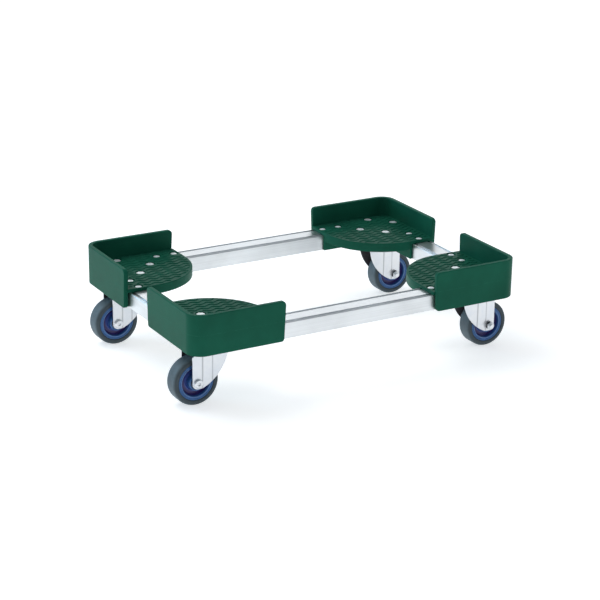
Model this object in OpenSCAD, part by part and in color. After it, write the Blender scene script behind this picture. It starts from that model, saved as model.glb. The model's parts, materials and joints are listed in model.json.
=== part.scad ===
// Crate dolly: four moulded corners, four riveted aluminium rails and four swivel castors.
// Millimetres. The floor is z = 0, +Z is up, +X runs along the length, and the origin lies
// on the floor under the centre of the frame.

/* [Overall] */
// Length over the corner mouldings
body_l = 620; // [500:5:840]
// Width over the corner mouldings
body_w = 420; // [400:5:640]

/* [Corner moulding] */
// Length of each side wall, measured at its top edge
wall_l = 167; // [140:1:185]
// Thickness of the side walls
wall_t = 8; // [5:0.5:10]
// Radius of the outer upright corner
corner_r = 26; // [14:1:30]
// Height of the side walls above the deck
wall_rise = 34.7; // [15:0.1:60]
// How far a wall's end leans in at its foot
wall_draft = 3.3; // [0:0.1:6]
// Radius of the wall ends at the top
end_top_r = 7.5; // [2:0.5:12]
// Radius of the wall ends at the foot
end_foot_r = 5; // [2:0.5:10]
// Reach of the deck from the outer faces
deck_l = 168; // [150:1:190]
// Thickness of the deck
deck_t = 5.7; // [4:0.1:8]
// Depth of the skirt under the curved deck edge, deck included
skirt_d = 16; // [8:1:24]
// Thickness of the skirt
skirt_t = 3.5; // [2:0.5:6]
// Thickness of the stiffening ribs
rib_t = 3; // [2:0.5:5]
// Number of ribs under the curved part of the deck
tongue_ribs = 3; // [1:1:5]
// Thickness of the walls round each rail socket
socket_t = 4; // [2.5:0.5:6]

/* [Rails] */
// Width of a rail
rail_w = 40; // [30:1:44]
// Height of a rail
rail_h = 28; // [22:1:36]
// Wall of the rail extrusion
rail_t = 2.2; // [1.5:0.1:3]
// Width of the two grooves along the top of a rail
groove_w = 6; // [4:0.5:8]
// Depth of the two grooves
groove_d = 2.5; // [1.5:0.1:3.5]
// Width of the lip between a groove and the rail's side
lip_w = 2.2; // [2:0.1:3]
// Distance from the outer face of the moulding to the rail
rail_inset = 10; // [9:0.5:16]
// Distance from the outer corner to the rail's end
rail_start = 110; // [108:1:125]

/* [Rivets] */
// Distance from the outer corner to the first rivet of a rail
rivet_first = 125; // [122:1:132]
// Distance from the first rivet to the second
rivet_pitch = 33; // [20:1:36]
// Diameter of a rivet's shank
rivet_d = 6; // [4:0.5:8]
// Diameter of a rivet's head
rivet_head_d = 11; // [9:0.5:14]
// Height of a rivet's head
rivet_head_h = 1.8; // [1:0.1:2]
// Diameter of the dimple round a rivet's head
dimple_d = 15.5; // [14:0.5:18]
// Depth of that dimple
dimple_depth = 2.2; // [2.1:0.1:3]

/* [Castor] */
// Distance from the outer faces to the swivel axis
swivel_inset = 58; // [56:1:62]
// Height from the top of the wheel to the castor's mounting face
head_h = 26; // [25:1:34]
// Horizontal distance from the swivel axis to the axle
trail = 30; // [20:1:36]
// Length of the castor plate, along the corner's diagonal
plate_l = 77; // [72:1:78]
// Width of the castor plate
plate_w = 67; // [62:1:72]
// Radius of the plate's corners
plate_corner_r = 10; // [6:1:14]
// Thickness of the plate
plate_t = 2.5; // [2:0.1:3]
// Distance between the castor bolts along the plate
bolts_l = 61; // [58:0.5:62]
// Distance between the castor bolts across the plate
bolts_w = 48; // [46:0.5:52]
// Diameter of the race balls
ball_d = 6; // [5:0.5:6]
// Number of balls in the race
ball_count = 16; // [8:1:18]
// Radius of the circle through the ball centres
ball_circle_r = 19.5; // [18:0.5:20]
// Radius of the fork's round crown
crown_r = 26; // [25:0.5:26]
// Diameter of the kingpin
kingpin_d = 12; // [10:0.5:14]

/* [Fork] */
// Sheet thickness of the fork
fork_t = 2.5; // [2:0.1:3]
// Clear width between the fork's legs
fork_gap = 36; // [35:0.5:37]
// Outer radius of the bend between crown and leg
bend_r = 8.5; // [5:0.5:10]
// Radius of the leg's lower end round the axle
leg_end_r = 10; // [9:0.5:12]
// Radius of the leg's long curved edge
leg_edge_r = 77; // [72:1:84]
// Width of the pressed bead on each leg
bead_w = 16; // [8:1:18]
// Height that the bead stands proud
bead_h = 0.8; // [0.4:0.1:1.2]

/* [Wheel] */
// Diameter of the wheel over its tyre
wheel_d = 80; // [65:1:100]
// Width of the tyre
tyre_w = 29; // [24:0.5:30]
// Radial thickness of the tyre
tyre_t = 9; // [6:0.5:11]
// Radius of the tyre's shoulders
shoulder_r = 5; // [2:0.5:7]
// Length of the wheel hub
hub_l = 33; // [31:0.5:34]
// Radius of the wheel hub
hub_r = 14; // [12:0.5:15]
// Thickness of the rim's outer ring
ring_t = 6; // [4:0.5:7]
// Thickness of the web between ring and hub
web_t = 10; // [6:1:16]

/* [Fasteners] */
// Thread diameter of the castor bolts and of the axle bolt
bolt_d = 8; // [6:1:8]
// Width across the flats of their heads and nuts
bolt_af = 13; // [10:1:13]
// Diameter of the sunk seat round each castor bolt's head
seat_d = 17; // [16:0.5:18]
// Depth of that seat below the deck's top
seat_depth = 6; // [6:0.5:8]

/* [Clearances] */
// Clearance of seated pieces that don't move
seat_gap = 0.3; // [0.2:0.05:0.5]
// Radial clearance of pins and bores that turn
running_gap = 0.05; // [0.02:0.01:0.1]
// Radial clearance of bolts in their holes
bolt_gap = 0.2; // [0.1:0.05:0.4]

/* [Hidden] */
$fn = 96;
// Corner directions: -1 is left or front, 1 is right or back
LEFT = -1;
RIGHT = 1;
FRONT = -1;
BACK = 1;
SIDES = [LEFT, RIGHT];
// A little extra, so that cuts run clean through
eps = 1;

// Heights, from the floor up
axle_z = wheel_d / 2;
mount_z = wheel_d + head_h;
plate_z = mount_z - plate_t;
ball_gap = 0.25;
crown_top = plate_z - ball_d - 2 * ball_gap;
crown_foot = crown_top - fork_t;
wall_drop = 6;
foot_z = mount_z - wall_drop;
rail_top = foot_z + rail_h;
deck_foot = rail_top + seat_gap;
deck_top = deck_foot + deck_t;
wall_top = deck_top + wall_rise;

// Corner moulding
rail_mid = rail_inset + rail_w / 2;
groove_mid = rail_w / 2 - lip_w - groove_w / 2;
key_w = groove_w - 2 * seat_gap;
key_foot = rail_top - groove_d + seat_gap;
socket_in = rail_inset + rail_w + seat_gap;
socket_out = socket_in + socket_t;
socket_back = rail_start - seat_gap;
tongue_r = deck_l - swivel_inset;
rivet_places = [rivet_first, rivet_first + rivet_pitch];
boss_r = 46.5;
boss_t = 4;
well_r = 11;
pillar_r = seat_d / 2 + 2;
pad_w = rail_inset - seat_gap;

// Castor head
skirt_in = crown_r + 0.6;
skirt_wall = 2.2;
skirt_h = 5.5;
seal_t = 2.2;
kingpin_r = kingpin_d / 2;
kingpin_head_r = 9;
kingpin_head_h = 3.5;
collar_r = 11;
collar_h = 4;
kingpin_end = 2;

// Fasteners
bolt_r = bolt_d / 2;
hex_r = bolt_af / 2 / cos(30);
head_h_bolt = 5.3;
washer_r = 8;
washer_t = 1.6;
thin_nut_h = 5;
thread_end = 0.8;
seat_z = deck_top - seat_depth;
nut_z = plate_z - washer_t - thin_nut_h;
axle_head_r = 7.5;
axle_head_h = 4;
socket_af = 5;
socket_depth = 2.4;
lock_nut_h = 7.5;

// Fork and wheel
fork_half = fork_gap / 2 + fork_t;
sleeve_r = bolt_r + 2;
bearing_r = 10.5;
bearing_w = 10;
rim_r = wheel_d / 2 - tyre_t;
ring_half = tyre_w / 2 - 1;
leg_edge_x = trail + 22;
leg_edge_z = axle_z + 61;

GREEN = [0.09, 0.34, 0.25];
ALUMINIUM = [0.80, 0.82, 0.84];
ZINC = [0.78, 0.79, 0.80];
STEEL = [0.62, 0.63, 0.65];
BLUE = [0.12, 0.24, 0.62];
RUBBER = [0.30, 0.32, 0.34];
BRASS = [0.72, 0.60, 0.35];

// ---- placing ----

// Puts a piece that is drawn at the outer corner, running towards +X and +Y, at one corner of the frame.
module at_corner(side_x, side_y) {
    translate([side_x * body_l / 2, side_y * body_w / 2, 0])
        mirror([side_x > 0 ? 1 : 0, 0, 0])
            mirror([0, side_y > 0 ? 1 : 0, 0])
                children();
}

// Puts a castor piece, drawn with its swivel axis at the origin and its axle towards +X, under one corner.
module at_castor(side_x, side_y) {
    translate([side_x * (body_l / 2 - swivel_inset), side_y * (body_w / 2 - swivel_inset), 0])
        rotate([0, 0, side_x > 0 ? 0 : 180])
            children();
}

// Puts a piece that is drawn round the origin at the swivel axis of one corner.
module at_plate(side_x, side_y) {
    at_corner(side_x, side_y)
        translate([swivel_inset, swivel_inset, 0])
            children();
}

// The four bolt places round the swivel axis, on a rectangle whose length lies on the corner's diagonal.
module at_bolts() {
    for (along = SIDES)
        for (across = SIDES)
            translate([
                (along * bolts_l - across * bolts_w) / 2 * cos(45),
                (along * bolts_l + across * bolts_w) / 2 * sin(45)
            ])
                children();
}

// Puts a piece, drawn with its axis along Z at the origin, on the axle of a castor.
module on_axle() {
    translate([trail, 0, axle_z])
        rotate([90, 0, 0])
            children();
}

// The same piece a second time, swapped about the corner's diagonal.
module both_ways() {
    children();
    mirror([1, -1, 0]) children();
}

// Extrudes a shape drawn in X and Z along +Y, from y0.
module upright(y0, depth) {
    translate([0, y0 + depth, 0])
        rotate([90, 0, 0])
            linear_extrude(height = depth) children();
}

// ---- corner moulding ----

// Square area from the outer corner, set in from the outer faces, with the outer corner rounded.
module corner_area(inset, reach) {
    translate([inset, corner_r]) square([reach - inset, reach - corner_r]);
    translate([corner_r, inset]) square([reach - corner_r, reach - inset]);
    translate([corner_r, corner_r]) circle(r = corner_r - inset);
}

// Side view of one wall, with its leaning, rounded end.
module wall_side() {
    lean = atan(wall_draft / (wall_top - foot_z));
    top_x = wall_l - end_top_r * (1 + sin(lean)) / cos(lean);
    top_z = wall_top - end_top_r;
    foot_x = wall_l - wall_draft - end_foot_r * (1 - sin(lean)) / cos(lean);
    foot_c = foot_z + end_foot_r;
    polygon([
        [0, foot_z], [foot_x, foot_z], [foot_x, foot_c],
        [foot_x + end_foot_r * cos(lean), foot_c - end_foot_r * sin(lean)],
        [top_x + end_top_r * cos(lean), top_z - end_top_r * sin(lean)],
        [top_x, top_z], [top_x, wall_top], [0, wall_top]
    ]);
    translate([top_x, top_z]) circle(r = end_top_r);
    translate([foot_x, foot_c]) circle(r = end_foot_r);
}

module side_walls() {
    intersection() {
        translate([0, 0, foot_z])
            linear_extrude(height = wall_top - foot_z)
                difference() {
                    corner_area(0, wall_l + eps);
                    corner_area(wall_t, wall_l + 2 * eps);
                }
        both_ways() upright(-eps, corner_r + eps) wall_side();
    }
}

// Plan of the deck: rounded about the swivel axis, and no deeper than the walls where they end.
module deck_area() {
    intersection() {
        difference() {
            corner_area(wall_t / 2, deck_l);
            both_ways() translate([wall_l - wall_draft - end_foot_r, 0]) square([deck_l, wall_t]);
        }
        union() {
            square([deck_l, swivel_inset]);
            square([swivel_inset, deck_l]);
            translate([swivel_inset, swivel_inset]) circle(r = tongue_r);
        }
    }
}

// Skirt and ribs under the curved part of the deck.
module tongue_ribbing() {
    translate([0, 0, deck_top - skirt_d])
        linear_extrude(height = skirt_d - deck_t / 2)
            intersection() {
                translate([socket_in + socket_t / 2, socket_in + socket_t / 2]) square(deck_l);
                translate([swivel_inset, swivel_inset])
                    union() {
                        difference() {
                            circle(r = tongue_r);
                            circle(r = tongue_r - skirt_t);
                        }
                        for (i = [1 : tongue_ribs])
                            rotate([0, 0, 90 * i / (tongue_ribs + 1)])
                                translate([boss_r - boss_t / 2, -rib_t / 2])
                                    square([tongue_r - skirt_t / 2 - boss_r + boss_t / 2, rib_t]);
                    }
            }
}

// Walls round the end of one rail, and the two keys that fit the rail's grooves.
module rail_socket() {
    height = deck_foot - foot_z + deck_t / 2;
    translate([socket_back - socket_t + 0.6, wall_t / 2, foot_z])
        cube([socket_t - 0.6, socket_out - wall_t / 2, height]);
    translate([socket_back - socket_t / 2, socket_in, foot_z])
        cube([deck_l - socket_back + socket_t / 2, socket_t, height]);
    translate([socket_back - socket_t / 2, wall_t / 2, foot_z])
        cube([wall_l - wall_draft - end_foot_r - socket_back, pad_w - wall_t / 2, height]);
    for (side = SIDES)
        translate([socket_back - socket_t / 2, rail_mid + side * groove_mid - key_w / 2, key_foot])
            cube([deck_l - socket_back + socket_t / 2 - 1, key_w, deck_foot + deck_t / 2 - key_foot]);
}

// Ring, ribs and bolt pillars that the castor plate bears against.
module castor_boss() {
    height = deck_foot - mount_z + deck_t / 2;
    translate([swivel_inset, swivel_inset, mount_z])
        linear_extrude(height = height) {
            difference() {
                circle(r = boss_r);
                circle(r = boss_r - boss_t);
            }
            circle(r = well_r + boss_t);
            for (a = [0 : 45 : 135])
                rotate([0, 0, a]) square([2 * boss_r - boss_t, rib_t], center = true);
            at_bolts() circle(r = pillar_r);
        }
}

// Everything that is cut out of the moulding: rivet dimples, bolt seats and the kingpin's well.
module corner_cuts() {
    both_ways()
        for (place = rivet_places)
            translate([place, rail_mid, 0]) {
                translate([0, 0, foot_z]) cylinder(h = deck_top - foot_z + eps, r = rivet_d / 2 + bolt_gap);
                translate([0, 0, deck_top - dimple_depth]) cylinder(h = dimple_depth + eps, d = dimple_d);
            }
    translate([swivel_inset, swivel_inset, mount_z - eps]) {
        cylinder(h = kingpin_head_h + 2 * eps + 1, r = well_r);
        at_bolts() {
            cylinder(h = deck_top - mount_z + 2 * eps, r = bolt_r + bolt_gap);
            translate([0, 0, seat_z - mount_z + eps]) cylinder(h = seat_depth + eps, d = seat_d);
        }
    }
}

module corner(side_x, side_y) {
    color(GREEN)
        at_corner(side_x, side_y)
            difference() {
                union() {
                    side_walls();
                    translate([0, 0, deck_foot]) linear_extrude(height = deck_t) deck_area();
                    tongue_ribbing();
                    both_ways() rail_socket();
                    castor_boss();
                }
                corner_cuts();
            }
}

// ---- rails ----

// Cross-section of the extrusion, with its foot on the X axis and its middle on the Z axis.
module rail_section() {
    inner_w = rail_w - 2 * rail_t;
    middle_w = 2 * groove_mid - groove_w - 2 * rail_t;
    difference() {
        translate([-rail_w / 2, 0]) square([rail_w, rail_h]);
        translate([-inner_w / 2, rail_t]) square([inner_w, rail_h - groove_d - 2 * rail_t]);
        translate([-middle_w / 2, rail_h / 2]) square([middle_w, rail_h / 2 - rail_t]);
        for (side = SIDES)
            translate([side * groove_mid - groove_w / 2, rail_h - groove_d])
                square([groove_w, groove_d + eps]);
    }
}

// A rail along X, centred on the origin, with its rivet holes.
module rail(span) {
    length = span - 2 * rail_start;
    difference() {
        translate([-length / 2, 0, foot_z])
            rotate([90, 0, 90])
                linear_extrude(height = length) rail_section();
        for (side = SIDES)
            for (place = rivet_places)
                translate([side * (span / 2 - place), 0, rail_top - rail_t - eps])
                    cylinder(h = rail_t + 2 * eps, r = rivet_d / 2 + running_gap);
    }
}

module long_rail(side_y) {
    color(ALUMINIUM) translate([0, side_y * (body_w / 2 - rail_mid), 0]) rail(body_l);
}

module short_rail(side_x) {
    color(ALUMINIUM) translate([side_x * (body_l / 2 - rail_mid), 0, 0]) rotate([0, 0, 90]) rail(body_w);
}

// Blind rivet: domed head in its dimple, shank, and the set end under the rail's top wall.
module rivet() {
    seat = deck_top - dimple_depth;
    grip = seat - (rail_top - rail_t);
    dome_r = (pow(rivet_head_d / 2, 2) + pow(rivet_head_h, 2)) / (2 * rivet_head_h);
    set_r = rivet_d / 2 + 1.4;
    translate([0, 0, seat])
        difference() {
            union() {
                intersection() {
                    translate([0, 0, rivet_head_h - dome_r]) sphere(r = dome_r);
                    cylinder(h = rivet_head_h, r = rivet_head_d / 2);
                }
                translate([0, 0, -grip - 1]) cylinder(h = grip + 1.2, r = rivet_d / 2);
                translate([0, 0, -grip - 4.5]) cylinder(h = 4.5, r = set_r);
            }
            translate([0, 0, rivet_head_h - 1]) cylinder(h = 2, r = 1.3);
        }
}

module rail_rivets() {
    color(ZINC)
        for (side_x = SIDES)
            for (side_y = SIDES)
                at_corner(side_x, side_y)
                    both_ways()
                        for (place = rivet_places)
                            translate([place, rail_mid, 0]) rivet();
}

// ---- castor fasteners ----

// Repeats a piece at the four bolts of each castor.
module at_castor_bolts() {
    for (side_x = SIDES)
        for (side_y = SIDES)
            at_plate(side_x, side_y)
                at_bolts() children();
}

module castor_bolts() {
    color(STEEL)
        at_castor_bolts()
            difference() {
                union() {
                    translate([0, 0, seat_z]) cylinder(h = head_h_bolt, r = hex_r, $fn = 6);
                    translate([0, 0, nut_z - thread_end]) cylinder(h = seat_z - nut_z + thread_end + 1, r = bolt_r);
                }
                translate([0, 0, seat_z + head_h_bolt - 0.8]) cylinder(h = 1, r = 3.6);
            }
}

module castor_washers() {
    color(ZINC)
        at_castor_bolts()
            translate([0, 0, plate_z - washer_t])
                difference() {
                    cylinder(h = washer_t, r = washer_r);
                    translate([0, 0, -eps]) cylinder(h = washer_t + 2 * eps, r = bolt_r + running_gap);
                }
}

module castor_nuts() {
    color(ZINC)
        at_castor_bolts()
            translate([0, 0, nut_z])
                difference() {
                    cylinder(h = thin_nut_h, r = hex_r, $fn = 6);
                    translate([0, 0, -eps]) cylinder(h = thin_nut_h + 2 * eps, r = bolt_r + running_gap);
                }
}

// ---- castor head ----

module castor_plate(side_x, side_y) {
    half_l = plate_l / 2 - plate_corner_r;
    half_w = plate_w / 2 - plate_corner_r;
    color(ZINC)
        at_plate(side_x, side_y)
            difference() {
                union() {
                    translate([0, 0, plate_z])
                        linear_extrude(height = plate_t)
                            rotate([0, 0, 45]) {
                                square([plate_l, 2 * half_w], center = true);
                                square([2 * half_l, plate_w], center = true);
                                for (sx = SIDES)
                                    for (sy = SIDES)
                                        translate([sx * half_l, sy * half_w]) circle(r = plate_corner_r);
                            }
                    translate([0, 0, plate_z - skirt_h])
                        difference() {
                            cylinder(h = skirt_h + plate_t / 2, r = skirt_in + skirt_wall);
                            translate([0, 0, -eps]) cylinder(h = skirt_h + eps, r = skirt_in);
                        }
                }
                translate([0, 0, plate_z - eps]) cylinder(h = plate_t + 2 * eps, r = kingpin_r + running_gap);
                at_bolts()
                    translate([0, 0, plate_z - eps])
                        cylinder(h = plate_t + 2 * eps, r = bolt_r + bolt_gap);
            }
}

module kingpin(side_x, side_y) {
    color(STEEL)
        at_castor(side_x, side_y) {
            translate([0, 0, mount_z]) cylinder(h = kingpin_head_h, r = kingpin_head_r);
            translate([0, 0, crown_foot - seat_gap - collar_h - kingpin_end])
                cylinder(h = mount_z - crown_foot + seat_gap + collar_h + kingpin_end + 1, r = kingpin_r);
            translate([0, 0, crown_foot - seat_gap - collar_h]) cylinder(h = collar_h, r = collar_r);
        }
}

module race_balls(side_x, side_y) {
    color(STEEL)
        at_castor(side_x, side_y)
            for (i = [0 : ball_count - 1])
                rotate([0, 0, 360 * i / ball_count])
                    translate([ball_circle_r, 0, crown_top + ball_gap + ball_d / 2]) sphere(d = ball_d);
}

module race_seal(side_x, side_y) {
    height = plate_z - crown_top - seat_gap;
    color("dimgray")
        at_castor(side_x, side_y)
            translate([0, 0, crown_top])
                difference() {
                    cylinder(h = height, r = crown_r);
                    translate([0, 0, -eps]) cylinder(h = height + 2 * eps, r = crown_r - seal_t);
                }
}

// ---- fork ----

// Side view of a leg: a straight edge past the axle, a round end and a long curved edge.
module leg_side() {
    intersection() {
        translate([leg_edge_x, leg_edge_z]) circle(r = leg_edge_r);
        union() {
            polygon([
                [trail, axle_z - leg_end_r], [trail, axle_z], [trail + leg_end_r, axle_z],
                [trail + leg_end_r, crown_top - 12], [crown_r + 1, crown_foot - 0.5], [crown_r - 6, crown_top],
                [6 - crown_r, crown_top], [-crown_r - 1, crown_foot - 0.5], [-crown_r - 6, crown_top - 8],
                [-crown_r - 6, axle_z - leg_end_r]
            ]);
            translate([trail, axle_z]) circle(r = leg_end_r);
        }
    }
}

// Half of the fork's front view, in Y and Z: a leg that bends over into the crown.
module fork_front() {
    foot = axle_z - leg_end_r - eps;
    difference() {
        union() {
            translate([-fork_half, foot]) square([2 * fork_half, crown_top - bend_r - foot]);
            translate([bend_r - fork_half, foot]) square([2 * (fork_half - bend_r), crown_top - foot]);
            for (side = SIDES)
                translate([side * (fork_half - bend_r), crown_top - bend_r]) circle(r = bend_r);
        }
        union() {
            translate([-fork_gap / 2, foot - eps]) square([fork_gap, crown_top - bend_r - foot + eps]);
            translate([bend_r - fork_half, foot - eps])
                square([2 * (fork_half - bend_r), crown_foot - foot + eps]);
            for (side = SIDES)
                translate([side * (fork_half - bend_r), crown_top - bend_r]) circle(r = bend_r - fork_t);
        }
    }
}

// Upright bead pressed out of each leg.
module leg_bead() {
    low = axle_z + leg_end_r + bead_w / 2;
    high = crown_top - bend_r - bead_w / 2 - 1;
    mid_x = trail - leg_end_r - 4 - bead_w / 2;
    translate([mid_x - bead_w / 2, low]) square([bead_w, high - low]);
    translate([mid_x, low]) circle(d = bead_w);
    translate([mid_x, high]) circle(d = bead_w);
}

module fork(side_x, side_y) {
    color(ZINC)
        at_castor(side_x, side_y)
            difference() {
                union() {
                    intersection() {
                        upright(-fork_half - eps, 2 * (fork_half + eps)) leg_side();
                        translate([-leg_edge_r, 0, 0])
                            rotate([90, 0, 90])
                                linear_extrude(height = 2 * leg_edge_r) fork_front();
                    }
                    translate([0, 0, crown_foot]) cylinder(h = fork_t, r = crown_r);
                    upright(-fork_half - bead_h, bead_h + fork_t / 2) leg_bead();
                    upright(fork_half - fork_t / 2, bead_h + fork_t / 2) leg_bead();
                }
                translate([0, 0, crown_foot - eps]) cylinder(h = fork_t + 2 * eps, r = kingpin_r + running_gap);
                on_axle()
                    translate([0, 0, -fork_half - eps])
                        cylinder(h = 2 * (fork_half + eps), r = bolt_r + running_gap);
            }
}

// ---- axle and wheel ----

// Axle bolt: round socket head outside one leg, thread end past the nut on the other.
module axle_bolt(side_x, side_y) {
    shank = 2 * fork_half + lock_nut_h + 1.5;
    color(ZINC)
        at_castor(side_x, side_y)
            on_axle()
                difference() {
                    union() {
                        translate([0, 0, -fork_half - axle_head_h]) cylinder(h = axle_head_h, r = axle_head_r);
                        translate([0, 0, -fork_half - 1]) cylinder(h = shank + 1, r = bolt_r);
                    }
                    translate([0, 0, -fork_half - axle_head_h - eps])
                        cylinder(h = socket_depth + eps, r = socket_af / 2 / cos(30), $fn = 6);
                }
}

module axle_nut(side_x, side_y) {
    color(ZINC)
        at_castor(side_x, side_y)
            on_axle()
                translate([0, 0, fork_half])
                    difference() {
                        union() {
                            cylinder(h = lock_nut_h - 2, r = hex_r, $fn = 6);
                            cylinder(h = lock_nut_h, r = bolt_af / 2 - 0.5);
                        }
                        translate([0, 0, -eps])
                            cylinder(h = lock_nut_h + 2 * eps, r = bolt_r + running_gap);
                    }
}

module axle_sleeve(side_x, side_y) {
    color(STEEL)
        at_castor(side_x, side_y)
            on_axle()
                translate([0, 0, -fork_gap / 2])
                    difference() {
                        cylinder(h = fork_gap, r = sleeve_r);
                        translate([0, 0, -eps]) cylinder(h = fork_gap + 2 * eps, r = bolt_r + running_gap);
                    }
}

module wheel_bearings(side_x, side_y) {
    color(BRASS)
        at_castor(side_x, side_y)
            on_axle()
                for (side = SIDES)
                    translate([0, 0, side * (hub_l - bearing_w) / 2])
                        difference() {
                            cylinder(h = bearing_w, r = bearing_r, center = true);
                            cylinder(h = bearing_w + eps, r = sleeve_r + running_gap, center = true);
                        }
}

module rim(side_x, side_y) {
    color(BLUE)
        at_castor(side_x, side_y)
            on_axle()
                rotate_extrude()
                    difference() {
                        union() {
                            translate([rim_r - ring_t, -ring_half]) square([ring_t, 2 * ring_half]);
                            translate([bearing_r + 1, -web_t / 2]) square([rim_r - bearing_r - 2, web_t]);
                            translate([bearing_r + running_gap, -hub_l / 2])
                                square([hub_r - bearing_r - running_gap, hub_l]);
                            translate([sleeve_r + 2, -hub_l / 2 + bearing_w + running_gap])
                                square([bearing_r - sleeve_r, hub_l - 2 * bearing_w - 2 * running_gap]);
                        }
                        translate([rim_r - ring_t / 2, ring_half]) circle(r = 1);
                        translate([rim_r - ring_t / 2, -ring_half]) circle(r = 1);
                    }
}

module tyre(side_x, side_y) {
    half = tyre_w / 2;
    color(RUBBER)
        at_castor(side_x, side_y)
            on_axle()
                rotate_extrude()
                    intersection() {
                        translate([rim_r + running_gap, -half]) square([tyre_t - running_gap, tyre_w]);
                        union() {
                            translate([rim_r, -half]) square([tyre_t - shoulder_r, tyre_w]);
                            translate([rim_r, shoulder_r - half]) square([tyre_t, tyre_w - 2 * shoulder_r]);
                            for (side = SIDES)
                                translate([wheel_d / 2 - shoulder_r, side * (half - shoulder_r)])
                                    circle(r = shoulder_r);
                        }
                    }
}

// ---- the assembly ----

corner(LEFT, FRONT);  // corner_front_left
corner(RIGHT, FRONT);  // corner_front_right
corner(LEFT, BACK);  // corner_back_left
corner(RIGHT, BACK);  // corner_back_right
long_rail(FRONT);  // rail_front
long_rail(BACK);  // rail_back
short_rail(LEFT);  // rail_left
short_rail(RIGHT);  // rail_right
rail_rivets();
castor_bolts();
castor_washers();
castor_nuts();
castor_plate(LEFT, FRONT);  // castor_plate_front_left
castor_plate(RIGHT, FRONT);  // castor_plate_front_right
castor_plate(LEFT, BACK);  // castor_plate_back_left
castor_plate(RIGHT, BACK);  // castor_plate_back_right
kingpin(LEFT, FRONT);  // kingpin_front_left
kingpin(RIGHT, FRONT);  // kingpin_front_right
kingpin(LEFT, BACK);  // kingpin_back_left
kingpin(RIGHT, BACK);  // kingpin_back_right
race_balls(LEFT, FRONT);  // race_balls_front_left
race_balls(RIGHT, FRONT);  // race_balls_front_right
race_balls(LEFT, BACK);  // race_balls_back_left
race_balls(RIGHT, BACK);  // race_balls_back_right
race_seal(LEFT, FRONT);  // race_seal_front_left
race_seal(RIGHT, FRONT);  // race_seal_front_right
race_seal(LEFT, BACK);  // race_seal_back_left
race_seal(RIGHT, BACK);  // race_seal_back_right
fork(LEFT, FRONT);  // fork_front_left
fork(RIGHT, FRONT);  // fork_front_right
fork(LEFT, BACK);  // fork_back_left
fork(RIGHT, BACK);  // fork_back_right
axle_bolt(LEFT, FRONT);  // axle_bolt_front_left
axle_bolt(RIGHT, FRONT);  // axle_bolt_front_right
axle_bolt(LEFT, BACK);  // axle_bolt_back_left
axle_bolt(RIGHT, BACK);  // axle_bolt_back_right
axle_nut(LEFT, FRONT);  // axle_nut_front_left
axle_nut(RIGHT, FRONT);  // axle_nut_front_right
axle_nut(LEFT, BACK);  // axle_nut_back_left
axle_nut(RIGHT, BACK);  // axle_nut_back_right
axle_sleeve(LEFT, FRONT);  // axle_sleeve_front_left
axle_sleeve(RIGHT, FRONT);  // axle_sleeve_front_right
axle_sleeve(LEFT, BACK);  // axle_sleeve_back_left
axle_sleeve(RIGHT, BACK);  // axle_sleeve_back_right
wheel_bearings(LEFT, FRONT);  // wheel_bearings_front_left
wheel_bearings(RIGHT, FRONT);  // wheel_bearings_front_right
wheel_bearings(LEFT, BACK);  // wheel_bearings_back_left
wheel_bearings(RIGHT, BACK);  // wheel_bearings_back_right
rim(LEFT, FRONT);  // rim_front_left
rim(RIGHT, FRONT);  // rim_front_right
rim(LEFT, BACK);  // rim_back_left
rim(RIGHT, BACK);  // rim_back_right
tyre(LEFT, FRONT);  // tyre_front_left
tyre(RIGHT, FRONT);  // tyre_front_right
tyre(LEFT, BACK);  // tyre_back_left
tyre(RIGHT, BACK);  // tyre_back_right
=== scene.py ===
"""Looks for a crate dolly: moulded corners, aluminium rails, pressed castor forks and rubber wheels.

Lengths are in metres, in the frame's own axes. Pieces under a corner are drawn at the front left corner's
outer edge, running inwards, and castor pieces are drawn with the swivel axis at the origin and the axle
towards +X; a matrix then puts each one in its place.
"""

import json
import math

import bmesh
import bpy
from bpy.props import FloatProperty, FloatVectorProperty, IntProperty, PointerProperty
from mathutils import Matrix, Vector


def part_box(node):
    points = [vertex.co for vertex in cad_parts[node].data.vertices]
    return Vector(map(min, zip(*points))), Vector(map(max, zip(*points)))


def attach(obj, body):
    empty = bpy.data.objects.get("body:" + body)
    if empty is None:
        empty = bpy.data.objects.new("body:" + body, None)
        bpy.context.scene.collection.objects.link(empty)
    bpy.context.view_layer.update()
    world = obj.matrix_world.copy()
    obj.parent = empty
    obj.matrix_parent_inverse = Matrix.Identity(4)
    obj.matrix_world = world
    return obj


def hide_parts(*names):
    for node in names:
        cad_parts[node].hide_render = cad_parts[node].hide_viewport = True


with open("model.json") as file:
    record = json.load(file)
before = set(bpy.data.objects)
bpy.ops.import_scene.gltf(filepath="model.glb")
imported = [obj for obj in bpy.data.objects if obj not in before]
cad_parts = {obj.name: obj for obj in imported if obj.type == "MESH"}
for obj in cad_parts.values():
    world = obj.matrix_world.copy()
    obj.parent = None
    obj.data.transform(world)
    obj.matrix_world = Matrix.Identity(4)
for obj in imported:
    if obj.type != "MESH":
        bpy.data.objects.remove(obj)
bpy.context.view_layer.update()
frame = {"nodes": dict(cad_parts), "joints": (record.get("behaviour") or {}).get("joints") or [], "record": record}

bl_info = {
    "name": "Crate Dolly Finish",
    "version": (1, 0, 0),
    "blender": (4, 5, 0),
    "location": "3D Viewport > Sidebar > Dolly",
    "description": "Builds the finished moulding, rails, forks and wheels of a crate dolly",
    "category": "Object",
}

MM = 0.001
WELD = 1e-7
FLOOR_RADIUS = 14.0
LAMP_AIM = Vector((0, 0, 0.1))
FULL_TURN = 2 * math.pi
PLACES = {
    "front_left": (-1, -1),
    "front_right": (1, -1),
    "back_left": (-1, 1),
    "back_right": (1, 1),
}

# ---- sizes that the frame gives ----

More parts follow.
